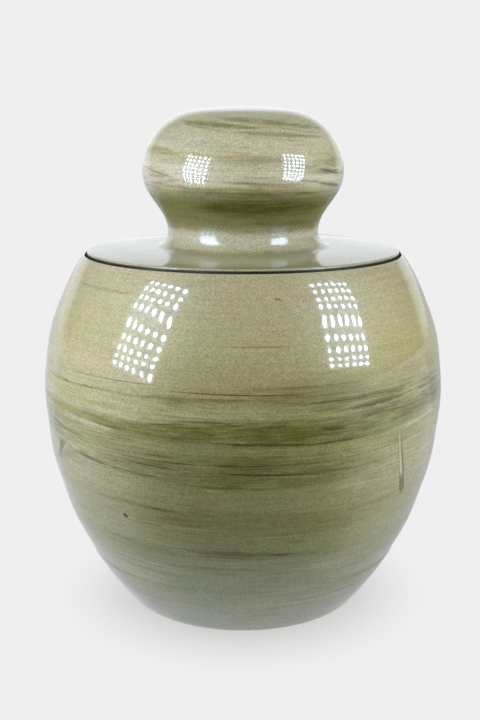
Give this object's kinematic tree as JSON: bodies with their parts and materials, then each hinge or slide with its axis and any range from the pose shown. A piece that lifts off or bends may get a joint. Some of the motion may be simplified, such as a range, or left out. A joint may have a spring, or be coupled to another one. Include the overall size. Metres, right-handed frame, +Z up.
{
  "type": "stone jar",
  "caption": "Lathe-turned stone jar: full-bellied hollow body with a small flat foot, and a thick inset lid with a broad mushroom knob that lifts out of its seat.",
  "frame": {"origin": "centre of the flat foot, on the ground", "axes": "+Z up the turning axis, through the middle of the knob; the jar is round, so +X and +Y are free"},
  "size_m": [0.2, 0.2, 0.2477],
  "materials": {
    "body_stone": "polished, lacquered",
    "lid_stone": "polished, lacquered"
  },
  "bodies": {
    "jar": {"jar_body": "body_stone"},
    "lid": {"lid": "lid_stone"}
  },
  "joints": [
    {"name": "lid_lift", "type": "slide", "parent": "jar", "child": "lid", "axis": [0, 0, 1], "range_m": [0, 0.16]}
  ]
}
